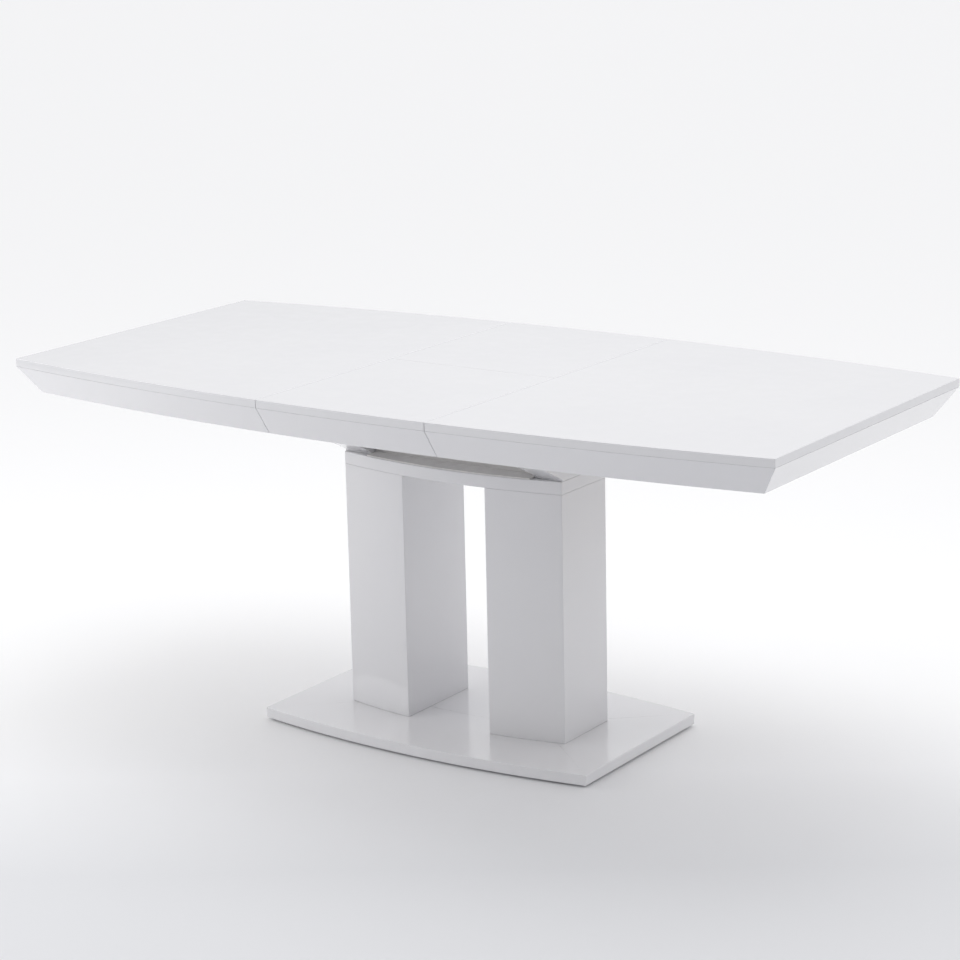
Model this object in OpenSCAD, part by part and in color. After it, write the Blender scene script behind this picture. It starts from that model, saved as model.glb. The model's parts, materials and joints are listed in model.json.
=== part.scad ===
// Extendable pedestal dining table, shown extended with its folding leaf in place.
// Origin: floor level under the middle of the table. +X along the length, +Y to the back, +Z up.
// Both top halves slide on a twin rail unit and are geared together. The leaf folds in two
// about its middle and swings on four arms into a bay between the two white bearers.

/* [Table top] */
// Length of the extended table
table_len = 1800; // [1500:10:2200]
// Width across the middle of the bowed sides
top_w = 902; // [750:2:1100]
// How far each side bows out between its ends
top_bow = 71; // [50:1:90]
// Height of the table surface above the floor
table_h = 760; // [630:1:920]
// Thickness of the top boards
panel_t = 17; // [14:1:28]
// Height of the bevelled skirt below the boards
skirt_drop = 58; // [35:1:75]
// How far the skirt slopes inwards from its top to its bottom
skirt_in = 39; // [15:1:60]
// Thickness of the skirt boards, square to their slope
skirt_t = 18; // [12:1:25]
// Width of the leaf along the table
leaf_w = 400; // [330:5:480]
// Joint line between the leaf and each half
seam_gap = 1; // [0.5:0.1:3]
// How far each half slides outwards to free the leaf
release = 25; // [10:1:40]

/* [Pedestal] */
// Length of the foot plate
base_len = 796; // [650:2:1000]
// Width of the foot plate at its middle
base_w = 498; // [400:2:650]
// How far each side of the foot plate bows out
base_bow = 36; // [20:1:60]
// Thickness of the foot plate
base_t = 22; // [16:1:40]
// Height of the floor glides
glide_h = 5; // [3:0.5:12]
// Radius of a floor glide
glide_r = 14; // [8:1:25]
// Distance of the glides from the edges of the foot plate
glide_inset = 34; // [25:1:60]
// Length of each column along the table
column_len = 166; // [130:1:240]
// Wall thickness of the columns
column_wall = 19; // [12:1:25]
// Width of the saddle plate across its middle
saddle_w = 228; // [220:1:320]
// How far each side of the saddle plate bows out
saddle_bow = 32; // [20:1:40]
// Thickness of the saddle plate
saddle_t = 26; // [18:1:36]
// Height of the blocks inside the column ends
block_h = 60; // [40:1:120]
// Thickness of the liner on the floor of the leaf bay
liner_t = 3; // [2:0.5:5]

/* [Bearers] */
// Width of a bearer along the table
bearer_len = 65.5; // [50:0.5:90]
// Room between the ends of a bearer and the skirts
bearer_room = 45; // [20:1:80]
// Height of the upright ends of a bearer
bearer_nose = 26; // [15:1:40]
// How far the flat foot of a bearer reaches past the guides
bearer_foot = 18; // [14:1:24]
// Height of the small step under the sloping ends
bearer_step = 4; // [2:0.5:10]
// Gap between a bearer and the stored leaf
bay_clear = 1.5; // [1:0.1:4]
// Thickness of the nylon strips that carry the halves
strip_t = 4.6; // [3:0.1:6]
// Length of a nylon strip
strip_len = 120; // [80:1:160]

/* [Rail unit] */
// Width of one guide profile
guide_w = 32; // [26:0.5:38]
// Height of the guide profile
guide_h = 26; // [21:0.5:32]
// Wall of the guide profile
guide_wall = 2.2; // [1.5:0.1:3]
// Room between a rack and the guide beside it
rack_room = 6.7; // [4:0.1:9]
// Height of the guides above the saddle plate
guide_lift = 24; // [16:1:30]
// Clearance round a runner in its guide
runner_clear = 0.3; // [0.1:0.05:0.8]
// Distance of a runner's inner end from the middle of the table
runner_in = 70; // [30:1:120]
// Thickness of the cross rails under each half
rail_t = 18; // [14:1:25]
// Room between a closed half's cross rail and the rail unit
rail_stop = 14; // [8:1:30]
// Distance between the two cross rails of a half
rail_pitch = 90; // [70:1:120]
// Room between the ends of a cross rail and the skirts
rail_room = 19; // [10:1:60]
// Height of the upright ends of a cross rail
rail_nose = 34; // [20:1:50]

/* [Gearing] */
// Tooth module of pinion and racks
gear_m = 2; // [1.6:0.1:2.5]
// Number of teeth on the pinion
gear_z = 14; // [11:1:18]
// Thickness of the pinion and the racks
gear_t = 8; // [5:0.5:10]
// Depth of the rack bar behind its teeth
rack_back = 5; // [3:0.5:6]
// Radius of the pinion pin
pin_r = 4; // [3:0.2:5]
// Running clearance of pins in their bores
pin_clear = 0.06; // [0.02:0.01:0.1]

/* [Leaf] */
// Gap between the two leaf boards at the fold
fold_gap = 0.8; // [0.6:0.1:2]
// Height of the fold axis above the table surface
fold_lift = 0.5; // [0.3:0.1:1]
// How far the folded leaf travels forwards into its bay
store_shift = 200; // [165:1:240]
// Room above the stored leaf
store_clear = 4; // [3:0.5:8]
// Room between the stored leaf and the guides below it
guide_room = 25; // [20:1:50]
// Depth of the fixed pivots below the straight line that the leaf pins travel across
pivot_depth = 60; // [50:1:75]
// Width of a swing arm
arm_w = 14; // [12:1:16]
// Thickness of a swing arm
arm_t = 5; // [3:0.5:6]
// Distance of the front leaf pivots behind the fold
arm_front_y = 30; // [25:1:40]
// Distance of the back leaf pivots behind the fold
arm_back_y = 190; // [150:1:230]
// Gap between the ends of the arms and the boards
arm_gap = 1; // [0.5:0.1:3]
// Radius of the barrel hinges in the fold
hinge_r = 6; // [4:0.5:6.5]
// Length of a barrel hinge in each board
hinge_len = 22; // [15:1:30]
// Distance between neighbouring barrel hinges
hinge_pitch = 140; // [100:5:170]

/* [Fasteners] */
// Radius of the tie rods in the columns
rod_r = 5; // [4:0.5:6]
// Radius of the machine screws
bolt_r = 4; // [3:0.2:5]
// Radius of the wood screws
screw_r = 2; // [1.5:0.25:2.5]

/* [Hidden] */

lacquer = [0.93, 0.93, 0.94];
taupe = [0.42, 0.38, 0.36];
steel = [0.62, 0.63, 0.65];
raw_wood = [0.72, 0.58, 0.42];
nylon = [0.88, 0.88, 0.84];

bow_fn = 256;       // facets of the long bowed edges
round_fn = 48;      // facets of pins and bores
snug = 0.2;         // glue gap round a block in a column
eps = 1;            // how far a cut runs past the face that it opens

half_len = table_len / 2;
board_z = table_h - panel_t;              // underside of the boards
skirt_z = board_z - skirt_drop;           // bottom of the skirts
skirt_deep = skirt_t * norm([skirt_drop, skirt_in]) / skirt_drop;   // level thickness
skirt_reach = skirt_in + skirt_deep;      // from the edge of the boards to a skirt's inside
half_in = leaf_w / 2 + seam_gap;          // inner edge of each half

leaf_drop = 2 * panel_t + skirt_drop + store_clear;   // how far the folded leaf sinks
bay_h = leaf_drop + guide_room + guide_h + guide_lift;
saddle_top = board_z - bay_h;
saddle_z = saddle_top - saddle_t;
base_top = glide_h + base_t;
column_h = saddle_z - base_top;
bearer_in = leaf_w / 2 + bay_clear;
column_out = bearer_in + bearer_len;      // the columns end flush with the bearers
column_in = column_out - column_len;
column_mid = (column_in + column_out) / 2;
saddle_len = 2 * column_out;
strip_gap = 0.4;                          // play between strips and boards
strip_edge = 12;                          // from the edges of a bearer to its strips
bearer_top = board_z - strip_gap - strip_t;
bearer_half = top_w / 2 - skirt_reach - bearer_room;

gear_r = gear_m * gear_z / 2;
tooth_in = 0.9 * gear_m;                  // addendum
tooth_out = 1.15 * gear_m;                // dedendum
rack_edge = gear_r + tooth_out + rack_back;

guide_z = saddle_top + guide_lift;
guide_in = rack_edge + rack_room;
guide_out = guide_in + guide_w;
cell_w = (guide_w - 3 * guide_wall) / 2;
cell_h = guide_h - 2 * guide_wall;
inner_cell = guide_in + guide_wall + cell_w / 2;      // the right half's runners
outer_cell = guide_out - guide_wall - cell_w / 2;     // the left half's runners
runner_w = cell_w - 2 * runner_clear;
runner_h = cell_h - 2 * runner_clear;
runner_z = guide_z + guide_wall + runner_clear;
rail_low = runner_z;                                  // bottom edge of the cross rails
rail_in = column_out + half_in + rail_stop;           // inner face of the inner cross rail
rail_out = rail_in + rail_pitch;
runner_out = rail_out + rail_t;
rail_half = top_w / 2 - top_bow - skirt_reach - rail_room;
gear_z0 = guide_z + (guide_h - gear_t) / 2;

chord = norm([store_shift, leaf_drop]);               // between a leaf pin's two places
arm_len = norm([chord / 2, pivot_depth]);
arm_dy = -store_shift / 2 + pivot_depth * leaf_drop / chord;    // pivot from leaf pin, along Y
arm_dz = -leaf_drop / 2 - pivot_depth * store_shift / chord;    // and along Z
arm_pin_z = board_z - arm_w / 2 - arm_gap;
arm_side = 10;                                        // from a leaf's side edge to the arms
arm_x = leaf_w / 2 - arm_side;                        // outer face of an arm
bracket_side = 4;                                     // between an arm and a leaf bracket
bracket_x = arm_x - arm_t - bracket_side;             // outer face of a leaf bracket
bracket_t = 3;
collar = 2;                                           // how far a pin's collar stands out
ring_t = 2;                                           // thickness of a collar on a pin's end
play = 0.4;                                           // gap between a collar and its neighbour

rod_y = 32;                                           // tie rods either side of a column's middle
nut_r = 1.9 * rod_r;
nut_h = 8;
washer_t = 2;
washer_rim = 2;                                       // how far a washer shows round its nut
rod_gap = 2;                                          // from a rod's ends to the faces outside
nut_room = 3;                                         // round a nut in the foot plate
rod_slip = 0.5;                                       // round a tie rod in its bores
glide_pin = 8;                                        // depth of a glide's pin

// Radius of a bowed side from half its length and how far it bows out
function bow_r(half, rise) = (half * half + rise * rise) / (2 * rise);
// Half width of a bowed outline at a distance x from its middle
function bow_y(x, radius, mid_w) = mid_w / 2 - radius + sqrt(radius * radius - x * x);

top_r = bow_r(half_len, top_bow);
base_r = bow_r(base_len / 2, base_bow);
saddle_r = bow_r(saddle_len / 2, saddle_bow);
mitre = 45 - asin(half_len / top_r) / 2;              // mitre against the end, from the X axis

// Outline with bowed long sides and straight ends, drawn in by inset all round
module boat(half, radius, mid_w, inset = 0) {
    intersection() {
        translate([0, mid_w / 2 - radius]) circle(r = radius - inset, $fn = bow_fn);
        translate([0, radius - mid_w / 2]) circle(r = radius - inset, $fn = bow_fn);
        square([2 * (half - inset), 2 * mid_w], center = true);
    }
}

// Box between two corners
module block(low, high) {
    translate(low) cube(high - low);
}

// Rod along X between x0 and x1 at a point of the YZ plane
module x_rod(x0, x1, y, z, r) {
    translate([x0, y, z]) rotate([0, 90, 0]) cylinder(h = x1 - x0, r = r, $fn = round_fn);
}

// Upright rod
module z_rod(x, y, z0, z1, r) {
    translate([x, y, z0]) cylinder(h = z1 - z0, r = r, $fn = round_fn);
}

// Child mirrored to the left where side is -1
module to_side(side) {
    mirror([side < 0 ? 1 : 0, 0, 0]) children();
}

// Child mirrored to the back where row is 1; the front row is -1
module to_row(row) {
    mirror([0, row > 0 ? 1 : 0, 0]) children();
}

/* ---------- pedestal ---------- */

module base_plate() {
    color(lacquer) difference() {
        translate([0, 0, glide_h]) linear_extrude(base_t)
            boat(base_len / 2, base_r, base_w);
        for (x = [-column_mid, column_mid], y = [-rod_y, rod_y]) {
            z_rod(x, y, glide_h - eps, base_top + eps, rod_r + rod_slip);
            z_rod(x, y, glide_h - eps, glide_h + nut_h + washer_t, nut_r + nut_room);
        }
        for (p = glide_places())
            z_rod(p[0], p[1], glide_h - eps, glide_h + glide_pin, screw_r);
    }
}

// Places of the floor glides: near the four corners and at the two bowed sides
function glide_places() =
    let (x = base_len / 2 - glide_inset)
    let (y = bow_y(x, base_r, base_w) - glide_inset)
    [[-x, -y], [x, -y], [x, y], [-x, y],
     [0, -base_w / 2 + glide_inset], [0, base_w / 2 - glide_inset]];

module floor_glides() {
    color(nylon) for (p = glide_places()) {
        z_rod(p[0], p[1], 0, glide_h, glide_r);
        z_rod(p[0], p[1], glide_h - eps, glide_h + glide_pin, screw_r);
    }
}

// Column outline on the right, its walls drawn in by inset
module column_plan(inset = 0) {
    intersection() {
        boat(saddle_len / 2, saddle_r, saddle_w, inset);
        translate([column_in + inset, -saddle_w])
            square([column_len - 2 * inset, 2 * saddle_w]);
    }
}

module column(side) {
    color(lacquer) to_side(side) translate([0, 0, base_top]) linear_extrude(column_h)
        difference() {
            column_plan();
            column_plan(column_wall);
        }
}

// Solid block inside the column, bored for the tie rods
module column_block(side, z) {
    color(raw_wood) to_side(side) difference() {
        translate([0, 0, z]) linear_extrude(block_h) column_plan(column_wall + snug);
        for (y = [-rod_y, rod_y])
            z_rod(column_mid, y, z - eps, z + block_h + eps, rod_r + rod_slip);
        for (p = saddle_screw_places()) if (z > base_top)
            z_rod(p[0], p[1], saddle_z - bolt_bite - eps, z + block_h + eps, bolt_r);
    }
}

module left_column() { column(-1); }
module right_column() { column(1); }
module left_foot_block() { column_block(-1, base_top); }
module right_foot_block() { column_block(1, base_top); }
module left_head_block() { column_block(-1, saddle_z - block_h); }
module right_head_block() { column_block(1, saddle_z - block_h); }

rod_low = glide_h + rod_gap;                          // ends of the tie rods
rod_high = saddle_z - rod_gap;

module tie_rods() {
    color(steel) for (x = [-column_mid, column_mid], y = [-rod_y, rod_y])
        z_rod(x, y, rod_low, rod_high, rod_r);
}

// Hexagon nut on a washer, below the foot plate's bore or on a block inside the column
module tie_rod_nuts() {
    color(steel) for (x = [-column_mid, column_mid], y = [-rod_y, rod_y]) {
        nut(x, y, glide_h + nut_h, -1);
        nut(x, y, base_top + block_h, 1);
        nut(x, y, saddle_z - block_h, -1);
    }
}

// Nut whose washer's face lies at z; up is 1 for a nut above it and -1 for one below
module nut(x, y, z, up) {
    translate([x, y, z]) mirror([0, 0, up < 0 ? 1 : 0]) difference() {
        union() {
            cylinder(h = washer_t, r = nut_r + washer_rim, $fn = round_fn);
            translate([0, 0, washer_t]) cylinder(h = nut_h - washer_t, r = nut_r, $fn = 6);
        }
        translate([0, 0, -eps]) cylinder(h = nut_h + 2 * eps, r = rod_r, $fn = round_fn);
    }
}

// Screws that hold the saddle plate down on a column's head block, on the right
function saddle_screw_places() =
    let (edge = column_wall + screw_edge)
    let (y = bow_y(column_out, saddle_r, saddle_w) - column_wall - 1.25 * bolt_r)
    [for (x = [column_in + edge, column_out - edge], dy = [-y, y]) [x, dy]];

module saddle_plate() {
    color(lacquer) difference() {
        translate([0, 0, saddle_z]) linear_extrude(saddle_t)
            boat(saddle_len / 2, saddle_r, saddle_w);
        for (side = [-1, 1]) to_side(side) {
            for (p = saddle_screw_places()) {
                z_rod(p[0], p[1], saddle_z - eps, saddle_top + eps, bolt_r);
                countersink(p[0], p[1]);
            }
            for (p = bearer_screw_places()) {
                z_rod(p[0], p[1], saddle_z - eps, saddle_top + eps, screw_r + screw_slip);
                z_rod(p[0], p[1], saddle_z - eps, saddle_z + sink_h,
                      screw_r + head_rim + screw_slip);
            }
        }
        z_rod(0, 0, saddle_z - eps, saddle_top + eps, pin_r);
    }
}

screw_edge = 19;                                      // from a column's inside to its screws
screw_slip = 1;                                       // round the bearer screws in the plate
head_rim = 3;                                         // how far a flat head stands out
head_h = 4;                                           // depth of a countersunk head
sink_h = 6;                                           // depth of the bearer screws' sinks
bolt_bite = 44;                                       // depth of the saddle screws in a block

module countersink(x, y) {
    translate([x, y, saddle_top - head_h])
        cylinder(h = head_h, r1 = bolt_r, r2 = 2 * bolt_r, $fn = round_fn);
}

module saddle_screws() {
    color(steel) for (side = [-1, 1]) to_side(side) for (p = saddle_screw_places()) {
        z_rod(p[0], p[1], saddle_z - bolt_bite, saddle_top - head_h, bolt_r);
        countersink(p[0], p[1]);
    }
}

/* ---------- bearers, rail unit and gearing on the pedestal ---------- */

// Screws up through the saddle plate into a bearer's foot, on the right
function bearer_screw_places() =
    let (x = bearer_in + bearer_len / 2)
    let (y = guide_out + bearer_foot / 2) [[x, -y], [x, y]];

// Side view of a bearer: flat foot, step, sloping ends and upright noses
module bearer_plan() {
    nose_z = bearer_top - bearer_nose;
    foot = guide_out + bearer_foot;
    polygon([
        [-foot, saddle_top], [foot, saddle_top],
        [foot, saddle_top + bearer_step], [bearer_half, nose_z],
        [bearer_half, bearer_top], [-bearer_half, bearer_top],
        [-bearer_half, nose_z], [-foot, saddle_top + bearer_step]
    ]);
}

module bearer(side) {
    color(lacquer) to_side(side) difference() {
        translate([bearer_in, 0, 0]) rotate([90, 0, 90]) linear_extrude(bearer_len)
            bearer_plan();
        block([bearer_in - eps, -guide_out - snug, guide_z - snug],
              [column_out + eps, guide_out + snug, guide_z + guide_h + snug]);
        for (p = bearer_screw_places()) z_rod(p[0], p[1], saddle_top - eps, guide_z, screw_r);
        for (y = arm_pivot_ys())
            x_rod(bearer_in - eps, bearer_in + pivot_grip, y, arm_pin_z + arm_dz, pin_r);
    }
}

pivot_grip = 20;                                      // length of a pivot pin in its bearer

// Fixed pivots of the front and back arms along Y
function arm_pivot_ys() = [arm_front_y + arm_dy, arm_back_y + arm_dy];

module left_bearer() { bearer(-1); }
module right_bearer() { bearer(1); }

module bearer_screws() {
    color(steel) for (side = [-1, 1]) to_side(side) for (p = bearer_screw_places()) {
        z_rod(p[0], p[1], saddle_z + sink_h, guide_z - eps, screw_r);
        z_rod(p[0], p[1], saddle_z + sink_h / 2, saddle_z + sink_h, screw_r + head_rim);
    }
}

module bearer_strips() {
    color(nylon) for (side = [-1, 1], row = [-1, 1]) to_side(side) to_row(row)
        block([bearer_in + strip_edge, -bearer_half + strip_edge, bearer_top],
              [column_out - strip_edge, -bearer_half + strip_edge + strip_len,
               bearer_top + strip_t]);
}

liner_edge = 1.5;                                     // the plate's edge left bare
lip_over = 4;                                         // how far its lips cover the guides' sides

// Felt covered board on the saddle plate, between the feet of the bearers, with a lip at the
// front and one at the back that close the gap under the guides
module bay_liner() {
    color(taupe) {
        difference() {
            translate([0, 0, saddle_top]) linear_extrude(liner_t) intersection() {
                boat(saddle_len / 2, saddle_r, saddle_w, liner_edge);
                square([leaf_w, 2 * saddle_w], center = true);
            }
            z_rod(0, 0, saddle_top - eps, saddle_top + liner_t + eps, pin_r + hub + play);
        }
        for (row = [-1, 1]) to_row(row)
            block([-leaf_w / 2, -guide_out - play - liner_t, saddle_top],
                  [leaf_w / 2, -guide_out - play, guide_z + lip_over]);
    }
}

// Aluminium profile with two closed cells; row is -1 at the front and 1 at the back
module guide(row) {
    color(taupe) to_row(row) difference() {
        block([-column_out, -guide_out, guide_z], [column_out, -guide_in, guide_z + guide_h]);
        for (y = [inner_cell, outer_cell])
            block([-column_out - eps, -y - cell_w / 2, guide_z + guide_wall],
                  [column_out + eps, -y + cell_w / 2, guide_z + guide_h - guide_wall]);
    }
}

module front_guide() { guide(-1); }
module back_guide() { guide(1); }

// Low heads on the guides beside the swing arms, and the spacers that carry the guides there
module guide_screws() {
    head_r = 4;
    low_head = 1.6;
    spacer_r = 6;
    x = arm_x - arm_t - ring_t - 2 * play - spacer_r;
    y = guide_in + guide_w / 2;
    top = guide_z + guide_h;
    color(steel) for (side = [-1, 1], row = [-1, 1]) to_side(side) to_row(row) {
        z_rod(x, -y, top, top + low_head, head_r);
        z_rod(x, -y, saddle_top + liner_t, guide_z, spacer_r);
    }
}

hub = 2.5;                                            // collars of the pinion's pin

module pinion_pin() {
    color(steel) {
        z_rod(0, 0, saddle_z + ring_t, gear_z0 + gear_t + 2 * ring_t, pin_r);
        z_rod(0, 0, saddle_top, gear_z0 - play, pin_r + hub);
        z_rod(0, 0, gear_z0 + gear_t + play, gear_z0 + gear_t + ring_t, pin_r + hub);
    }
}

// Pins that the swing arms turn on, held in the bearers
module arm_pivots() {
    color(steel) for (side = [-1, 1], y = arm_pivot_ys()) to_side(side) {
        x_rod(arm_x - arm_t - ring_t / 2, bearer_in + pivot_grip, y, arm_pin_z + arm_dz, pin_r);
        x_rod(arm_x + play, bearer_in, y, arm_pin_z + arm_dz, pin_r + collar);
        x_rod(arm_x - arm_t - ring_t, arm_x - arm_t - play, y, arm_pin_z + arm_dz,
              pin_r + collar);
    }
}

press_ang = 20;                                       // pressure angle
backlash = 0.35;                                      // taken off each tooth's thickness
pitch = PI * gear_m;

// Involute point of the pinion's right flank, at a distance r from its middle
function flank(r) =
    let (rb = gear_r * cos(press_ang))
    let (roll = function(q) sqrt(max(q * q / (rb * rb) - 1, 0)) * 180 / PI
                - acos(min(rb / q, 1)))
    let (half_tooth = (pitch / 2 - backlash) / 2 / gear_r * 180 / PI)
    half_tooth + roll(gear_r) - roll(max(r, rb));

// Outline of one pinion tooth on the +Y side turned by ang, from root to tip and back
function tooth_points(ang) =
    let (steps = 6)
    let (root = gear_r - tooth_out)
    let (tip = gear_r + tooth_in)
    let (rs = [for (i = [0:steps]) root + (tip - root) * i / steps])
    concat(
        [for (r = rs) let (a = ang + 90 + flank(r)) r * [cos(a), sin(a)]],
        [for (i = [steps:-1:0]) let (a = ang + 90 - flank(rs[i])) rs[i] * [cos(a), sin(a)]]
    );

module drive_pinion() {
    color(nylon) translate([0, 0, gear_z0]) difference() {
        linear_extrude(gear_t)
            polygon([for (i = [0:gear_z - 1]) each tooth_points(-i * 360 / gear_z)]);
        translate([0, 0, -eps])
            cylinder(h = gear_t + 2 * eps, r = pin_r + pin_clear, $fn = round_fn);
    }
}

/* ---------- one top half, made on the right ---------- */

module top_board(side) {
    color(lacquer) to_side(side) difference() {
        translate([0, 0, board_z]) linear_extrude(panel_t) intersection() {
            boat(half_len, top_r, top_w);
            translate([half_in, -top_w]) square([half_len, 2 * top_w]);
        }
        for (x = [rail_in, rail_out], y = angle_screw_ys())
            z_rod(x + rail_t + angle_hole, y, board_z - eps, board_z + screw_bite, screw_r);
    }
}

// Bowed bevelled skirt of the front, as a slice of a very flat cone, for all x
module bow_skirt() {
    translate([0, top_r - top_w / 2, skirt_z]) difference() {
        cylinder(h = skirt_drop, r1 = top_r - skirt_in, r2 = top_r, $fn = bow_fn);
        translate([0, 0, -skirt_drop])
            cylinder(h = 3 * skirt_drop, r1 = top_r - 2 * skirt_in - skirt_deep,
                     r2 = top_r + skirt_in - skirt_deep, $fn = bow_fn);
    }
}

corner = [half_len, top_bow - top_w / 2];             // front right corner of the boards
mitre_len = 2 * skirt_reach;                          // longer than the mitre itself
mitre_in = corner + mitre_len * [-cos(mitre), sin(mitre)];
mitre_out = corner - mitre_len * [-cos(mitre), sin(mitre)];

// Plan of the piece of front skirt between the seam and the mitre
module skirt_plan() {
    polygon([[half_in, -top_w], [mitre_out[0], -top_w], mitre_out, mitre_in,
             [half_in, mitre_in[1]]]);
}

module side_skirt(side, row) {
    color(lacquer) to_side(side) to_row(row) intersection() {
        bow_skirt();
        translate([0, 0, skirt_z]) linear_extrude(skirt_drop) skirt_plan();
    }
}

module end_skirt(side) {
    color(lacquer) to_side(side) intersection() {
        rotate([90, 0, 0]) linear_extrude(2 * top_w, center = true) polygon([
            [half_len, board_z], [half_len - skirt_in, skirt_z],
            [half_len - skirt_in - skirt_deep, skirt_z], [half_len - skirt_deep, board_z]
        ]);
        translate([0, 0, skirt_z]) linear_extrude(skirt_drop) polygon([
            mitre_out, mitre_in, [mitre_in[0], -mitre_in[1]], [mitre_out[0], -mitre_out[1]]
        ]);
    }
}

// Board across the half that hangs the runners under the top; x is its inner face
module cross_rail(side, x) {
    shoulder = board_z - rail_nose;
    color(raw_wood) to_side(side) difference() {
        translate([x, 0, 0]) rotate([90, 0, 90]) linear_extrude(rail_t) polygon([
            [-guide_out, rail_low], [guide_out, rail_low],
            [rail_half, shoulder], [rail_half, board_z], [-rail_half, board_z],
            [-rail_half, shoulder]
        ]);
        for (row = [-1, 1]) runner_slot(side, x, row);
        for (y = angle_screw_ys())
            x_rod(x + rail_t - screw_bite, x + rail_t + eps, y, angle_screw_z, screw_r);
        to_row(-side) block([x - eps, -rack_edge, rail_low - eps],
                            [x + rail_t + eps, -gear_r + tooth_in + eps, gear_z0 + gear_t]);
        rack_screw_hole(side, gear_z0 + gear_t - eps, gear_z0 + gear_t + screw_bite);
    }
}

rack_screw_y = 2 * screw_r + snug - rack_edge;        // its head stays inside the notch

// Hole for the screw that holds a rack up in the notch of its inner cross rail
module rack_screw_hole(side, z0, z1) {
    to_row(-side) z_rod(rail_in + rail_t / 2, rack_screw_y, z0, z1, screw_r);
}

// Middle of this side's runners across the table
function runner_y(side) = side < 0 ? outer_cell : inner_cell;

module runner_slot(side, x, row) {
    y = row * runner_y(side);
    block([x - eps, y - runner_w / 2, rail_low - eps],
          [x + rail_t + eps, y + runner_w / 2, rail_low + runner_h]);
}

module runner(side, row) {
    y = row * runner_y(side);
    color(steel) to_side(side)
        block([runner_in, y - runner_w / 2, runner_z],
              [runner_out, y + runner_w / 2, runner_z + runner_h]);
}

// Toothed bar; the left half's lies behind the pinion and the right half's before it
module rack(side) {
    tan_in = tooth_in * tan(press_ang);
    tan_out = tooth_out * tan(press_ang);
    wide = (pitch / 2 - backlash) / 2;
    start = -release - 2 * pitch;
    first = ceil(start / pitch);
    last = floor(half_in / pitch) + 2;                // the closing travel and a little more
    // An odd number of teeth puts a gap of the pinion opposite a tooth of it
    phase = side < 0 || gear_z % 2 == 0 ? 0.5 : 0;
    color(nylon) difference() {
        to_side(side) to_row(-side) translate([0, 0, gear_z0]) linear_extrude(gear_t) {
            translate([start, -rack_edge]) square([rail_in + rail_t - start, rack_back]);
            translate([rail_in, -rack_edge]) square([rail_t, rack_back + tooth_out + tooth_in]);
            for (i = [first:last]) translate([(i + phase) * pitch, -gear_r]) polygon([
                [-wide - tan_out, -tooth_out - root], [wide + tan_out, -tooth_out - root],
                [wide + tan_out, -tooth_out], [wide - tan_in, tooth_in],
                [-wide + tan_in, tooth_in], [-wide - tan_out, -tooth_out]
            ]);
        }
        to_side(side) rack_screw_hole(side, gear_z0 - eps, gear_z0 + gear_t + eps);
    }
}

root = 0.5;                                           // depth of a tooth's root in the bar

// Steel angles that hold the cross rails to the boards
angle_l = 40;                                         // length along the rail
angle_a = 28;                                         // legs
angle_hole = 17;                                      // from its corner to its holes
angle_t = 3;                                          // thickness
screw_bite = 10;                                      // depth of a screw in the wood
angle_screw_z = board_z - angle_hole;
pan_h = 2;                                            // height of a pan head

function angle_ys() = [-rail_half + 1.5 * angle_l, 0, rail_half - 1.5 * angle_l];
function angle_screw_ys() = [for (y = angle_ys(), p = [-angle_l / 4, angle_l / 4]) y + p];

module rail_brackets(side) {
    color(steel) to_side(side) for (x = [rail_in + rail_t, rail_out + rail_t])
        difference() {
            for (y = angle_ys()) {
                block([x, y - angle_l / 2, board_z - angle_t],
                      [x + angle_a, y + angle_l / 2, board_z]);
                block([x, y - angle_l / 2, board_z - angle_a],
                      [x + angle_t, y + angle_l / 2, board_z]);
            }
            for (y = angle_screw_ys()) {
                z_rod(x + angle_hole, y, board_z - angle_t - eps, board_z + eps, screw_r);
                x_rod(x - eps, x + angle_t + eps, y, angle_screw_z, screw_r);
            }
        }
}

module rail_screws(side) {
    color(steel) to_side(side) {
        for (x = [rail_in + rail_t, rail_out + rail_t], y = angle_screw_ys()) {
            z_rod(x + angle_hole, y, board_z - angle_t, board_z + screw_bite, screw_r);
            z_rod(x + angle_hole, y, board_z - angle_t - pan_h, board_z - angle_t, 2 * screw_r);
            x_rod(x - screw_bite, x + angle_t, y, angle_screw_z, screw_r);
            x_rod(x + angle_t, x + angle_t + pan_h, y, angle_screw_z, 2 * screw_r);
        }
        rack_screw_hole(side, gear_z0, gear_z0 + gear_t + screw_bite);
        to_row(-side)
            z_rod(rail_in + rail_t / 2, rack_screw_y, gear_z0 - pan_h, gear_z0, 2 * screw_r);
    }
}

module left_top() { top_board(-1); }
module left_front_skirt() { side_skirt(-1, -1); }
module left_back_skirt() { side_skirt(-1, 1); }
module left_end_skirt() { end_skirt(-1); }
module left_inner_rail() { cross_rail(-1, rail_in); }
module left_outer_rail() { cross_rail(-1, rail_out); }
module left_front_runner() { runner(-1, -1); }
module left_back_runner() { runner(-1, 1); }
module left_rack() { rack(-1); }
module left_rail_brackets() { rail_brackets(-1); }
module left_rail_screws() { rail_screws(-1); }
module right_top() { top_board(1); }
module right_front_skirt() { side_skirt(1, -1); }
module right_back_skirt() { side_skirt(1, 1); }
module right_end_skirt() { end_skirt(1); }
module right_inner_rail() { cross_rail(1, rail_in); }
module right_outer_rail() { cross_rail(1, rail_out); }
module right_front_runner() { runner(1, -1); }
module right_back_runner() { runner(1, 1); }
module right_rack() { rack(1); }
module right_rail_brackets() { rail_brackets(1); }
module right_rail_screws() { rail_screws(1); }

/* ---------- swing arms ---------- */

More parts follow.
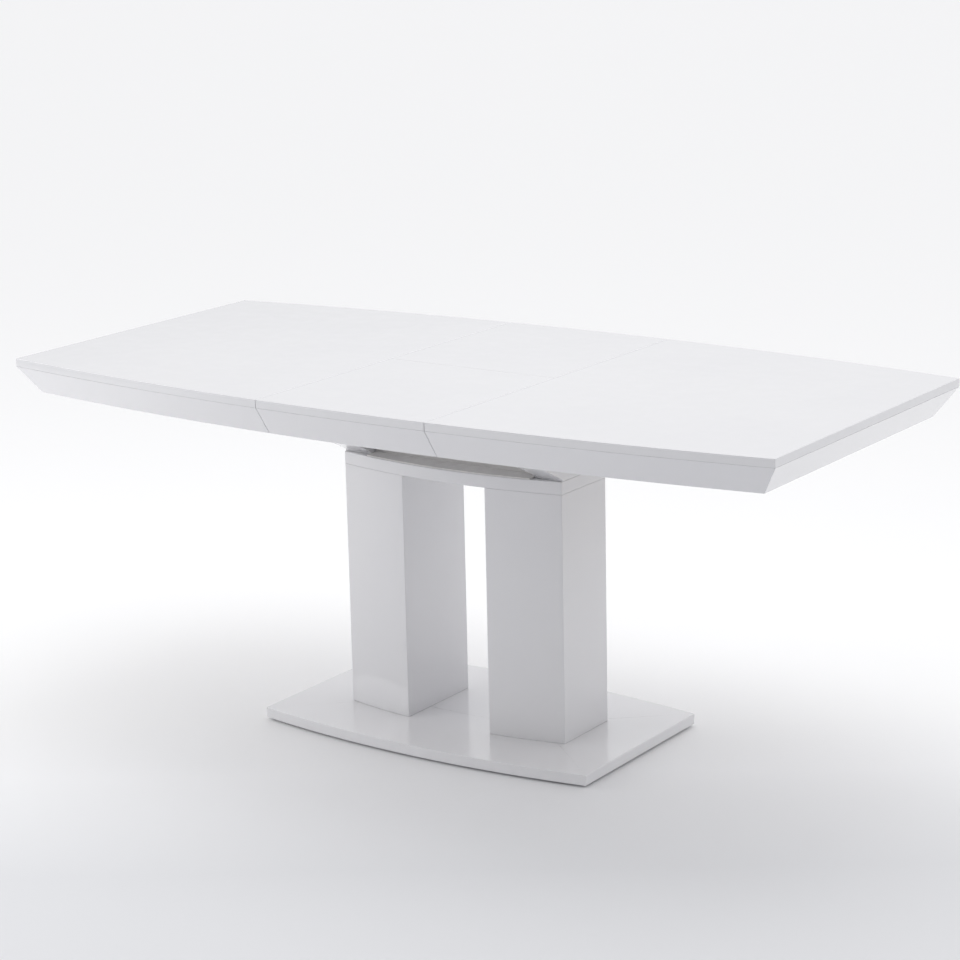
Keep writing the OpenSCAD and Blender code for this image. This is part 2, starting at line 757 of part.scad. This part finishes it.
// Flat arm from the fixed pivot to the leaf pin, bored at both ends
module swing_arm(y) {
    py = y + arm_dy;
    pz = arm_pin_z + arm_dz;
    lean = atan2(-arm_dy, -arm_dz);
    translate([arm_x - arm_t, py, pz]) rotate([-lean, 0, 0]) rotate([90, 0, 90])
        difference() {
            union() {
                translate([-arm_w / 2, 0, 0]) cube([arm_w, arm_len, arm_t]);
                cylinder(h = arm_t, r = arm_w / 2, $fn = round_fn);
                translate([0, arm_len, 0]) cylinder(h = arm_t, r = arm_w / 2, $fn = round_fn);
            }
            for (bore = [[0, pin_clear], [arm_len / 2, 0], [arm_len, pin_clear]])
                translate([0, bore[0], -eps])
                    cylinder(h = arm_t + 2 * eps, r = pin_r + bore[1], $fn = round_fn);
        }
}

// Rod that ties the left and right arm of a pair together, halfway along them
module arm_rod(y) {
    color(steel) x_rod(-arm_x, arm_x, y + arm_dy / 2, arm_pin_z + arm_dz / 2, pin_r);
}

module swing_arms(y) {
    color(steel) for (side = [-1, 1]) to_side(side) swing_arm(y);
}

module front_swing_arms() { swing_arms(arm_front_y); }
module back_swing_arms() { swing_arms(arm_back_y); }
module front_arm_rod() { arm_rod(arm_front_y); }
module back_arm_rod() { arm_rod(arm_back_y); }

/* ---------- leaf ---------- */

// Half of the leaf board, made at the front
module leaf_board(row) {
    color(lacquer) to_row(row) difference() {
        translate([0, 0, board_z]) linear_extrude(panel_t) intersection() {
            boat(half_len, top_r, top_w);
            translate([-leaf_w / 2, -top_w]) square([leaf_w, top_w - fold_gap / 2]);
        }
        for (x = hinge_xs()) hinge_barrel(x, 0);
    }
}

module leaf_skirt(row) {
    color(lacquer) to_row(row) intersection() {
        bow_skirt();
        translate([-leaf_w / 2, -top_w, skirt_z]) cube([leaf_w, top_w, skirt_drop]);
    }
}

function hinge_xs() = [-hinge_pitch, 0, hinge_pitch];

// Round body along Y, from the distance y before the fold backwards into the front board
module hinge_barrel(x, y) {
    translate([x, -y, board_z + panel_t / 2]) rotate([90, 0, 0])
        cylinder(h = fold_gap / 2 + hinge_len - y, r = hinge_r, $fn = round_fn);
}

link_x = 1.6;                                         // the two links either side of a body's middle
link_t = 1.2;                                         // width of a link's slot
link_in = 10;                                         // depth of the slots

// Round hinge bodies let into the edge of the board, with the slots of their links
module hinges(row) {
    color(steel) to_row(row) for (x = hinge_xs()) difference() {
        hinge_barrel(x, fold_gap / 2 + snug);
        for (dx = [-link_x, link_x])
            block([x + dx - link_t / 2, -link_in, board_z + panel_t / 2 - link_x - link_t],
                  [x + dx + link_t / 2, eps, board_z + panel_t / 2 + link_x + link_t]);
    }
}

// Steel plates under the back board, each with a pin for a swing arm
module leaf_brackets() {
    plate_l = 24;
    plate_half = 18;
    ear_half = pin_r + collar + bracket_t;
    color(steel) for (side = [-1, 1], y = [arm_front_y, arm_back_y]) to_side(side) {
        difference() {
            block([bracket_x - plate_l, y - plate_half, board_z - bracket_t],
                  [bracket_x, y + plate_half, board_z]);
            for (dy = [-ear_half - screw_r, ear_half + screw_r])
                z_rod(bracket_x - plate_l / 2 - bracket_t / 2, y + dy,
                      board_z - bracket_t - eps, board_z + eps, screw_r);
        }
        block([bracket_x - bracket_t, y - ear_half, arm_pin_z - arm_w / 2],
              [bracket_x, y + ear_half, board_z]);
        x_rod(bracket_x - eps, arm_x + 2 * play, y, arm_pin_z, pin_r);
        x_rod(bracket_x - eps, arm_x - arm_t - play, y, arm_pin_z, pin_r + collar);
    }
}

module leaf_back_top() { leaf_board(1); }
module leaf_back_skirt() { leaf_skirt(1); }
module leaf_hinges_back() { hinges(1); }
module leaf_front_top() { leaf_board(-1); }
module leaf_front_skirt() { leaf_skirt(-1); }
module leaf_hinges_front() { hinges(-1); }

base_plate();
floor_glides();
left_column();
right_column();
left_foot_block();
right_foot_block();
left_head_block();
right_head_block();
tie_rods();
tie_rod_nuts();
saddle_plate();
saddle_screws();
left_bearer();
right_bearer();
bearer_screws();
bearer_strips();
bay_liner();
front_guide();
back_guide();
guide_screws();
pinion_pin();
arm_pivots();
drive_pinion();
left_top();
left_front_skirt();
left_back_skirt();
left_end_skirt();
left_inner_rail();
left_outer_rail();
left_front_runner();
left_back_runner();
left_rack();
left_rail_brackets();
left_rail_screws();
right_top();
right_front_skirt();
right_back_skirt();
right_end_skirt();
right_inner_rail();
right_outer_rail();
right_front_runner();
right_back_runner();
right_rack();
right_rail_brackets();
right_rail_screws();
front_swing_arms();
front_arm_rod();
back_swing_arms();
back_arm_rod();
leaf_back_top();
leaf_back_skirt();
leaf_brackets();
leaf_hinges_back();
leaf_front_top();
leaf_front_skirt();
leaf_hinges_front();
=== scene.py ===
import json
import math

import bmesh
import bpy
import numpy as np
from mathutils import Matrix, Vector

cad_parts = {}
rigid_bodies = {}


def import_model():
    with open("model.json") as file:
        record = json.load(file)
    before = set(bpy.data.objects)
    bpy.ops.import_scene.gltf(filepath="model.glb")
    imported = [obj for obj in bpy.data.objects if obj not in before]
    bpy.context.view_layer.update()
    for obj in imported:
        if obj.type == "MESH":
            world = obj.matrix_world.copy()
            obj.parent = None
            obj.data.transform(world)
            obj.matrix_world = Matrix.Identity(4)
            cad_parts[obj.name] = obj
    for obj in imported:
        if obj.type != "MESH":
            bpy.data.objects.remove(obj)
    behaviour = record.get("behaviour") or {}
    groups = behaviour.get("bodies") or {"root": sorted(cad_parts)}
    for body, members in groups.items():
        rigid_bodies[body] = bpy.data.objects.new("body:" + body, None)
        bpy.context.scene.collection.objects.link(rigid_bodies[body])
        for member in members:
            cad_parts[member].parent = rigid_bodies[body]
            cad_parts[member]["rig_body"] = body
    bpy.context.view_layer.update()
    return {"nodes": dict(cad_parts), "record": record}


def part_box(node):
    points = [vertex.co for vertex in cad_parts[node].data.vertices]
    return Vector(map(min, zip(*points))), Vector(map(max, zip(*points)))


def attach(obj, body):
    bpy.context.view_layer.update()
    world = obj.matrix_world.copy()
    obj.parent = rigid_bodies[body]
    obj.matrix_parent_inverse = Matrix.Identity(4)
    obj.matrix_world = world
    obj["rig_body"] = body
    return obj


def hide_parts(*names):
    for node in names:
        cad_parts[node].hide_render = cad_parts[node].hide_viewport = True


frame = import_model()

# ---------------------------------------------------------------- sizes, in metres

MM = 0.001
SKIRT_SLOPE = 39 * MM       # how far a skirt leans in from its top to its bottom
SADDLE_BOW = 32 * MM        # how far the saddle plate's and the columns' sides bow out
COLUMN_WALL = 19 * MM
LACQUER_EDGE = 1.2 * MM     # rounding of lacquered edges
SKIRT_EDGE = 0.7 * MM
METAL_EDGE = 0.35 * MM
BOARD_EDGE = 0.6 * MM       # rounding of sawn edges
FOLD_EDGE = 0.3 * MM        # rounding of the leaf boards, so that the fold is a hairline
HINGE_OUT = 0.22 * MM       # brings the hinge bodies flush with the faces of the fold
TINY = 0.01 * MM            # nearer than this is the same place
WELD = 0.002 * MM           # corners of a mesh nearer than this are one
ARC_STEPS = 72              # stations along a bowed side
BEVEL_STEPS = 3             # faces across a rounded edge
SHARP = math.radians(28)    # an edge that turns more than this gets rounded
FLAT = math.radians(0.05)   # faces that turn less than this are one flat

top_low, top_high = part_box("right_top")
leaf_low, leaf_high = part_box("leaf_front_top")
end_low, end_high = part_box("right_end_skirt")
saddle_low, saddle_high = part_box("saddle_plate")
column_low, column_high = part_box("right_column")

HALF_LEN = top_high.x
HALF_WIDTH = -leaf_low.y
END_WIDTH = end_high.y
TOP_BOW = HALF_WIDTH - END_WIDTH
SKIRT_DEEP = HALF_LEN - end_low.x - SKIRT_SLOPE      # level thickness of a skirt


def bow_radius(half, rise):
    """Radius of a circle that rises by rise over half its chord."""
    return (half * half + rise * rise) / (2 * rise)


SIDE_R = bow_radius(HALF_LEN, TOP_BOW)
SADDLE_R = bow_radius(saddle_high.x, SADDLE_BOW)


def bow(x, radius, half_width, inset=0.0):
    """Distance of a bowed side from the middle plane at x: a circle of that radius less the
    inset, whose middle lies on the Y axis so that the full circle is half_width away at x = 0."""
    return half_width - radius + np.sqrt((radius - inset) ** 2 - x * x)


# ---------------------------------------------------------------- meshes

def make_object(name, points, faces):
    """New mesh object from an array of points and lists of faces."""
    mesh = bpy.data.meshes.new(name)
    mesh.from_pydata(np.asarray(points, float).tolist(), [], faces)
    mesh.update()
    made = bpy.data.objects.new(name, mesh)
    bpy.context.scene.collection.objects.link(made)
    return made


def outward(mesh):
    """Joins a closed mesh's faces, turns them outwards and shades them smooth."""
    work = bmesh.new()
    work.from_mesh(mesh)
    bmesh.ops.remove_doubles(work, verts=work.verts, dist=WELD)
    bmesh.ops.recalc_face_normals(work, faces=work.faces)
    work.to_mesh(mesh)
    work.free()
    mesh.shade_smooth()


def swept(name, rings, closed=False):
    """Solid whose skin is the grid rings[v, u]: u goes round a section of a few corners and v goes
    along the path. Neighbouring stations are joined by quads, and a path that isn't closed gets a
    flat face at each end."""
    stations, corners, _ = rings.shape
    v = np.arange(stations if closed else stations - 1)
    u = np.arange(corners)
    here, beside = np.meshgrid(v, u, indexing="ij")
    after, over = (here + 1) % stations, (beside + 1) % corners
    quads = np.stack([here * corners + beside, here * corners + over,
                      after * corners + over, after * corners + beside], axis=-1)
    faces = quads.reshape(-1, 4).tolist()
    if not closed:
        faces.append(list(range(corners))[::-1])
        faces.append(list(range((stations - 1) * corners, stations * corners)))
    made = make_object(name, rings.reshape(-1, 3), faces)
    outward(made.data)
    return made


def round_edges(made, width):
    """Rounds every sharp edge. The shading leans on the widest faces, so the flats stay flat up
    to the rounding."""
    bevel = made.modifiers.new("edges", "BEVEL")
    bevel.width = width
    bevel.segments = BEVEL_STEPS
    bevel.limit_method = "ANGLE"
    bevel.angle_limit = SHARP
    bevel.use_clamp_overlap = False
    flats = made.modifiers.new("flats", "WEIGHTED_NORMAL")
    flats.mode = "FACE_AREA"
    flats.weight = 100
    flats.keep_sharp = True
    return made


def stand_in(made, node, material):
    """Puts a new piece in a CAD node's place: same body, its own finish."""
    source = frame["nodes"][node]
    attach(made, source["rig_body"])
    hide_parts(node)
    made.data.materials.clear()
    made.data.materials.append(material)
    return made


def softened(node, width, material):
    """The CAD node's own solid with its edges rounded: its loose triangles are joined up, and
    the sharp edges get a bevel. The arms' flats, which run into their round ends, are made
    single faces first."""
    mesh = frame["nodes"][node].data.copy()
    work = bmesh.new()
    work.from_mesh(mesh)
    bmesh.ops.remove_doubles(work, verts=work.verts, dist=WELD)
    if node.endswith("_swing_arms"):
        bmesh.ops.dissolve_limit(work, angle_limit=FLAT, verts=work.verts, edges=work.edges)
    work.to_mesh(mesh)
    work.free()
    mesh.shade_smooth()
    made = bpy.data.objects.new(node + "_finished", mesh)
    bpy.context.scene.collection.objects.link(made)
    round_edges(made, width)
    return stand_in(made, node, material)


# ---------------------------------------------------------------- shader expressions

class Wire:
    """An output socket of a node tree. Sums, differences and products on it add Math nodes."""

    def __init__(self, tree, socket=None):
        self.tree = tree
        self.socket = socket

    def node(self, kind, settings=None, inputs=None, out=0):
        """New node of a type, with its settings set first and then the values or links of its
        sockets; stops are a ramp's list of places and colours."""
        made = self.tree.nodes.new(kind)
        for key, value in (settings or {}).items():
            if key == "stops":
                self._stops(made.color_ramp, value)
            else:
                setattr(made, key, value)
        for key, value in (inputs or {}).items():
            if isinstance(value, Wire):
                self.tree.links.new(made.inputs[key], value.socket)
            else:
                made.inputs[key].default_value = value
        return Wire(self.tree, made.outputs[out])

    @staticmethod
    def _stops(ramp, stops):
        while len(ramp.elements) < len(stops):
            ramp.elements.new(0.5)
        for element, (place, colour) in zip(ramp.elements, stops):
            element.position = place
            element.color = colour

    def _math(self, operation, first, second):
        return self.node("ShaderNodeMath", {"operation": operation}, {0: first, 1: second})

    def __add__(self, other):
        return self._math("ADD", self, other)

    def __sub__(self, other):
        return self._math("SUBTRACT", self, other)

    def __rsub__(self, other):
        return self._math("SUBTRACT", other, self)

    def __mul__(self, other):
        return self._math("MULTIPLY", self, other)

    __radd__ = __add__
    __rmul__ = __mul__

    def stretched(self, x, y, z):
        """The coordinates with each axis scaled."""
        return self.node("ShaderNodeMapping", {"vector_type": "POINT"},
                         {"Vector": self, "Scale": (x, y, z)})

    def noise(self, scale, detail=2.0, rough=0.5):
        """Cloudy noise from 0 to 1, scale cells to the metre."""
        return self.node("ShaderNodeTexNoise", {},
                         {"Vector": self, "Scale": scale, "Detail": detail, "Roughness": rough})

    def cells(self, scale, out="Distance"):
        """Cells like chips or crystals, scale of them to the metre."""
        return self.node("ShaderNodeTexVoronoi", {}, {"Vector": self, "Scale": scale}, out)

    def ramp(self, *stops):
        """Colour read off a ramp of places and colours."""
        return self.node("ShaderNodeValToRGB", {"stops": stops}, {"Fac": self})

    def between(self, low, high):
        """A value that runs from low to high as this one goes from 0 to 1."""
        return low + self * (high - low)

    def bump(self, height, distance, strength=1.0):
        """Normal of a surface raised by height times distance, in metres."""
        return self.node("ShaderNodeBump", {},
                         {"Height": height, "Distance": distance, "Strength": strength})


def finish(name, **constants):
    """New material, its Principled shader and a wire that carries Object coordinates. Constants
    go straight onto the shader's sockets."""
    material = bpy.data.materials.new(name)
    material.use_nodes = True
    tree = material.node_tree
    shader = tree.nodes["Principled BSDF"]
    for key, value in constants.items():
        shader.inputs[key.replace("_", " ")].default_value = value
    place = Wire(tree).node("ShaderNodeTexCoord", out="Object")
    return material, shader, place


def plug(shader, **wires):
    """Links wires to the shader's sockets."""
    for key, wire in wires.items():
        wire.tree.links.new(shader.inputs[key.replace("_", " ")], wire.socket)


# ---------------------------------------------------------------- finishes

def lacquer():
    """White high-gloss lacquer: a hard clear coat over white, with a faint orange peel, a
    slow change of tone over the boards and fine dust and rubbing in the gloss."""
    material, shader, place = finish("white_lacquer", Coat_Weight=0.7, Coat_Roughness=0.035,
                                     Coat_IOR=1.5, IOR=1.47)
    tone = place.noise(3.2, 3.0)
    specks = place.noise(900.0, 1.0)
    peel = place.noise(210.0, 1.5)
    swirl = place.stretched(1.0, 1.0, 0.4).noise(26.0, 4.0, 0.6)
    white = tone.ramp((0.3, (0.812, 0.808, 0.828, 1.0)), (0.7, (0.836, 0.832, 0.848, 1.0)))
    gloss = swirl.between(0.14, 0.24) + specks * 0.03
    relief = place.bump(peel * 0.8 + specks * 0.2, 0.00004, 0.35)
    plug(shader, Base_Color=white, Roughness=gloss, Normal=relief)
    return material


def raw_wood():
    """Raw particle board: pressed chips of several browns, sawn and slightly fuzzy."""
    material, shader, place = finish("raw_wood", Specular_IOR_Level=0.25)
    chips = place.stretched(1.0, 1.0, 2.2).cells(420.0, "Color")
    fibre = place.stretched(0.4, 1.0, 3.0).noise(650.0, 4.0, 0.7)
    cloud = place.noise(35.0, 3.0)
    chip_tone = chips.node("ShaderNodeSeparateColor", {}, {"Color": chips})
    tone = chip_tone * 0.45 + fibre * 0.35 + cloud * 0.2
    brown = tone.ramp((0.2, (0.27, 0.165, 0.085, 1.0)), (0.5, (0.48, 0.33, 0.19, 1.0)),
                      (0.8, (0.66, 0.5, 0.32, 1.0)))
    relief = place.bump(chip_tone * 0.5 + fibre * 0.5, 0.0003, 0.6)
    plug(shader, Base_Color=brown, Roughness=fibre.between(0.72, 0.92), Normal=relief)
    return material


def zinc():
    """Zinc-plated steel: satin grey with a fine spangle and drawn lines."""
    material, shader, place = finish("steel", Metallic=1.0)
    spangle = place.cells(260.0, "Color")
    spangle_tone = spangle.node("ShaderNodeSeparateColor", {}, {"Color": spangle})
    lines = place.stretched(0.06, 1.0, 1.0).noise(900.0, 3.0, 0.6)
    cloud = place.noise(60.0, 3.0)
    tone = spangle_tone * 0.3 + lines * 0.3 + cloud * 0.4
    metal = tone.ramp((0.25, (0.44, 0.45, 0.47, 1.0)), (0.75, (0.66, 0.665, 0.67, 1.0)))
    plug(shader, Base_Color=metal, Roughness=tone.between(0.28, 0.46),
         Normal=place.bump(lines, 0.00008, 0.3))
    return material


def taupe_metal():
    """Light greige powder coat on aluminium: faint die lines along the profile, a dry satin."""
    material, shader, place = finish("taupe_metal", Specular_IOR_Level=0.4)
    lines = place.stretched(0.02, 1.0, 1.0).noise(1400.0, 3.0, 0.6)
    cloud = place.noise(25.0, 3.0)
    tone = lines * 0.6 + cloud * 0.4
    coat = tone.ramp((0.3, (0.76, 0.745, 0.73, 1.0)), (0.7, (0.82, 0.805, 0.79, 1.0)))
    plug(shader, Base_Color=coat, Roughness=tone.between(0.36, 0.52),
         Normal=place.bump(lines, 0.00006, 0.3))
    return material


def taupe_felt():
    """Pressed felt: short crossed fibres, lighter tips and a soft sheen."""
    material, shader, place = finish("taupe_felt", Specular_IOR_Level=0.1, Sheen_Weight=0.35,
                                     Sheen_Roughness=0.5)
    along = place.stretched(1.0, 0.15, 1.0).noise(2200.0, 3.0, 0.7)
    across = place.stretched(0.15, 1.0, 1.0).noise(2200.0, 3.0, 0.7)
    clumps = place.noise(140.0, 3.0)
    tone = along * 0.35 + across * 0.35 + clumps * 0.3
    wool = tone.ramp((0.3, (0.7, 0.685, 0.67, 1.0)), (0.7, (0.84, 0.825, 0.81, 1.0)))
    plug(shader, Base_Color=wool, Roughness=tone.between(0.88, 0.98),
         Normal=place.bump(tone, 0.0006, 0.8))
    return material


def nylon():
    """Moulded nylon: off-white with flow marks and a fine spark-eroded grain."""
    material, shader, place = finish("nylon", Specular_IOR_Level=0.4)
    grain = place.noise(1600.0, 2.0)
    flow = place.stretched(0.5, 1.0, 1.0).noise(45.0, 3.0)
    white = flow.ramp((0.3, (0.66, 0.655, 0.61, 1.0)), (0.7, (0.74, 0.735, 0.695, 1.0)))
    plug(shader, Base_Color=white, Roughness=grain.between(0.42, 0.58),
         Normal=place.bump(grain, 0.00005, 0.5))
    return material


FINISHES = {
    "white_lacquer": lacquer(),
    "raw_wood": raw_wood(),
    "steel": zinc(),
    "taupe_metal": taupe_metal(),
    "taupe_felt": taupe_felt(),
    "nylon": nylon(),
}
EDGES = {
    "white_lacquer": LACQUER_EDGE,
    "raw_wood": BOARD_EDGE,
    "steel": METAL_EDGE,
    "taupe_metal": METAL_EDGE,
    "taupe_felt": BOARD_EDGE,
    "nylon": METAL_EDGE,
}
SLOT_OF = {part["node"]: part["material_slot"] for part in frame["record"]["subparts"]}
LACQUER = FINISHES["white_lacquer"]


# ---------------------------------------------------------------- lacquered pieces

def section(x, corners):
    """Rings of a section: each corner is a pair of arrays or numbers, y and z, along x."""
    ones = np.ones_like(x)
    return np.stack([np.stack([x, y * ones, z * ones], axis=-1) for y, z in corners], axis=1)


def top_half(side, node):
    """Board of one half: a rectangle across the table, as wide as the bowed sides are apart at
    each x, carried from the seam to the straight end."""
    x = np.linspace(top_low.x, top_high.x, ARC_STEPS) * side
    y = bow(x, SIDE_R, HALF_WIDTH)
    rings = section(x, [(-y, top_low.z), (y, top_low.z), (y, top_high.z), (-y, top_high.z)])
    made = round_edges(swept(node + "_finished", rings), LACQUER_EDGE)
    return stand_in(made, node, LACQUER)


def leaf_board(node, row):
    """Board of the leaf: a rectangle from the bowed side to the fold at each x. The fold gets
    a small rounding and every other edge the usual one, by the weights of the edges."""
    low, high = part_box(node)
    fold = row * min(abs(low.y), abs(high.y))
    x = np.linspace(low.x, high.x, ARC_STEPS)
    y = row * bow(x, SIDE_R, HALF_WIDTH)
    rings = section(x, [(y, low.z), (fold, low.z), (fold, high.z), (y, high.z)])
    made = round_edges(swept(node + "_finished", rings), LACQUER_EDGE)
    made.modifiers["edges"].limit_method = "WEIGHT"
    mesh = made.data
    weights = mesh.attributes.new("bevel_weight_edge", "FLOAT", "EDGE")
    for edge in mesh.edges:
        start, stop = (mesh.vertices[i].co for i in edge.vertices)
        across = abs(start.x - stop.x) < TINY
        at_end = max(abs(start.x), abs(stop.x)) > high.x - TINY
        at_fold = max(abs(start.y - fold), abs(stop.y - fold)) < TINY
        if at_end or not across:
            weights.data[edge.index].value = FOLD_EDGE / LACQUER_EDGE if at_fold else 1.0
    return stand_in(made, node, LACQUER)


def skirt_corners(low_z, high_z):
    """A skirt's section as pairs of inset from the edge of the boards and height."""
    return [(0.0, high_z), (SKIRT_SLOPE, low_z), (SKIRT_SLOPE + SKIRT_DEEP, low_z),
            (SKIRT_DEEP, high_z)]


MITRE = math.radians(45) - math.asin(HALF_LEN / SIDE_R) / 2    # against the X axis


def mitre_point(inset):
    """Where the bowed line at an inset meets the mitre, a straight line from the corner of the
    boards inwards: the distance t along it solves |corner + t * way - middle| = radius - inset."""
    corner = Vector((HALF_LEN, -END_WIDTH))
    way = Vector((-math.cos(MITRE), math.sin(MITRE)))
    middle = Vector((0.0, SIDE_R - HALF_WIDTH))
    start = corner - middle
    b = start.dot(way)
    c = start.length_squared - (SIDE_R - inset) ** 2
    t = -b - math.sqrt(b * b - c)
    return corner + t * way


def bowed_skirt(node, side, row, x_low=None, x_high=None):
    """Skirt under a bowed side: its section slides along circles about one middle, each corner
    from the seam to the mitre, or between two seams on the leaf."""
    low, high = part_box(node)
    share = np.linspace(0.0, 1.0, ARC_STEPS)
    rings = []
    for inset, z in skirt_corners(low.z, high.z):
        start = top_low.x if x_low is None else x_low
        stop = mitre_point(inset).x if x_high is None else x_high
        x = start + share * (stop - start)
        y = -bow(x, SIDE_R, HALF_WIDTH, inset)
        rings.append(np.stack([side * x, -row * y, np.full_like(x, z)], axis=-1))
    made = round_edges(swept(node + "_finished", np.stack(rings, axis=1)), SKIRT_EDGE)
    return stand_in(made, node, LACQUER)


def straight_skirt(node, side):
    """Skirt under a straight end: each corner runs straight from mitre to middle to mitre."""
    low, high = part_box(node)
    share = np.array([-1.0, 0.0, 1.0])
    rings = []
    for inset, z in skirt_corners(low.z, high.z):
        x = HALF_LEN - inset
        reach = END_WIDTH - inset * math.tan(MITRE)
        points = [np.full_like(share, side * x), share * reach, np.full_like(share, z)]
        rings.append(np.stack(points, axis=-1))
    made = round_edges(swept(node + "_finished", np.stack(rings, axis=1)), SKIRT_EDGE)
    return stand_in(made, node, LACQUER)


def column(node, side):
    """Hollow column: the wall's section, a tall rectangle, carried once round the outline. Two
    sides of the outline are straight and two are bowed; the inner line is the same shape drawn
    in by the wall."""
    half = saddle_high.y
    outline = []
    for inset in (0.0, COLUMN_WALL):
        x0, x1 = column_low.x + inset, column_high.x - inset
        front = np.linspace(x0, x1, ARC_STEPS // 3)
        y = bow(front, SADDLE_R, half, inset)
        outline.append(np.concatenate([np.stack([front, -y], -1),
                                       np.stack([front[::-1], y[::-1]], -1)]))
    outer, inner = outline
    levels = [(outer, column_low.z), (outer, column_high.z), (inner, column_high.z),
              (inner, column_low.z)]
    rings = [np.column_stack([line[:, 0] * side, line[:, 1], np.full(len(line), z)])
             for line, z in levels]
    made = round_edges(swept(node + "_finished", np.stack(rings, axis=1), closed=True),
                       LACQUER_EDGE)
    return stand_in(made, node, LACQUER)


top_half(-1, "left_top")
top_half(1, "right_top")
for name, side in (("left", -1), ("right", 1)):
    bowed_skirt(name + "_front_skirt", side, -1)
    bowed_skirt(name + "_back_skirt", side, 1)
    straight_skirt(name + "_end_skirt", side)
    column(name + "_column", side)
for name, row in (("front", -1), ("back", 1)):
    bowed_skirt("leaf_" + name + "_skirt", 1, row, leaf_low.x, leaf_high.x)
    leaf_board("leaf_" + name + "_top", row)
    hinges = softened("leaf_hinges_" + name, METAL_EDGE, FINISHES["steel"])
    hinges.data.transform(Matrix.Translation((0.0, -row * HINGE_OUT, 0.0)))

# Every other piece keeps its own solid and gets its edges rounded
for node, source in frame["nodes"].items():
    if not source.hide_render:
        slot = SLOT_OF[node]
        softened(node, EDGES[slot], FINISHES[slot])


# ---------------------------------------------------------------- floor, light and camera

def studio_floor():
    """Wide whitish floor, painted greyer towards the front and the right as shade, with a very
    soft sheen.
    """
    material, shader, place = finish("studio_floor", Specular_IOR_Level=0.2)
    cloud = place.noise(0.7, 3.0)
    x, y = (place.node("ShaderNodeSeparateXYZ", {}, {"Vector": place}, out=axis)
            for axis in "XY")
    # painted shade: the floor's colour greys towards the front and the right in place of the light
    # falling off there
    front = x * 0.2 - y * 0.3 + 0.3 + cloud * 0.02
    painted_shade_colour = front.ramp((0.3, (0.965, 0.965, 0.97, 1.0)), (0.42, (0.93, 0.932, 0.945, 1.0)),
                      (0.6, (0.76, 0.765, 0.785, 1.0)), (1.0, (0.72, 0.725, 0.745, 1.0)))
    plug(shader, Base_Color=painted_shade_colour, Roughness=cloud.between(0.5, 0.6))
    reach = 60.0
    corners = [(-reach, -reach, 0), (reach, -reach, 0), (reach, reach, 0), (-reach, reach, 0)]
    floor = make_object("studio_floor", corners, [[0, 1, 2, 3]])
    floor.data.materials.append(material)


def sky():
    """Studio dome: brightest overhead, dimmer towards the front and the right."""
    world = bpy.data.worlds.new("studio")
    bpy.context.scene.world = world
    world.use_nodes = True
    tree = world.node_tree
    way = Wire(tree).node("ShaderNodeTexCoord", out="Generated")
    x, y, height = (way.node("ShaderNodeSeparateXYZ", {}, {"Vector": way}, out=axis)
                    for axis in "XYZ")
    light = height.ramp((0.0, (0.25, 0.251, 0.258, 1.0)), (0.35, (0.52, 0.523, 0.535, 1.0)),
                        (1.0, (1.0, 1.0, 1.0, 1.0)))
    side = y * 0.4 - x * 0.12 + 0.86
    scaled = light.node("ShaderNodeVectorMath", {"operation": "SCALE"},
                        {0: light, "Scale": side})
    tree.links.new(tree.nodes["Background"].inputs["Color"], scaled.socket)
    tree.nodes["Background"].inputs["Strength"].default_value = 1.46


def softbox(name, place, aim, width, height, power):
    """White rectangular lamp at a place, facing a point; sizes in metres, power in watts."""
    lamp = bpy.data.lights.new(name, "AREA")
    lamp.shape = "RECTANGLE"
    lamp.size, lamp.size_y = width, height
    lamp.energy = power
    made = bpy.data.objects.new(name, lamp)
    made.location = place
    made.rotation_euler = (Vector(aim) - Vector(place)).to_track_quat("-Z", "Y").to_euler()
    bpy.context.scene.collection.objects.link(made)


def camera():
    """Camera at a distance from the aim, turned round the table, raised and slightly tilted."""
    azimuth, elevation, tilt = (math.radians(a) for a in (34.56, 14.233, -1.242))
    distance = 5.44
    aim = Vector((0.0512, -0.0511, 0.543))
    view = bpy.data.cameras.new("camera")
    view.lens = 100.79
    view.sensor_width = 36.0
    view.clip_end = 200.0
    made = bpy.data.objects.new("camera", view)
    back = Vector((math.sin(azimuth) * math.cos(elevation),
                   -math.cos(azimuth) * math.cos(elevation), math.sin(elevation)))
    turn = (-back).to_track_quat("-Z", "Y").to_matrix().to_4x4()
    made.matrix_world = (Matrix.Translation(aim + back * distance) @ turn
                         @ Matrix.Rotation(tilt, 4, "Z"))
    bpy.context.scene.collection.objects.link(made)
    bpy.context.scene.camera = made


studio_floor()
sky()
softbox("overhead", (-0.1, 0.5, 2.8), (-0.1, 0.1, 0.7), 2.0, 1.6, 9.0)
softbox("left_key", (-3.4, -2.7, 1.2), (-0.2, -0.2, 0.4), 2.2, 1.6, 33.0)
softbox("right_fill", (3.8, 0.8, 0.7), (0.1, 0.0, 0.3), 1.4, 1.2, 4.0)
camera()
bpy.context.scene.view_settings.view_transform = "Standard"
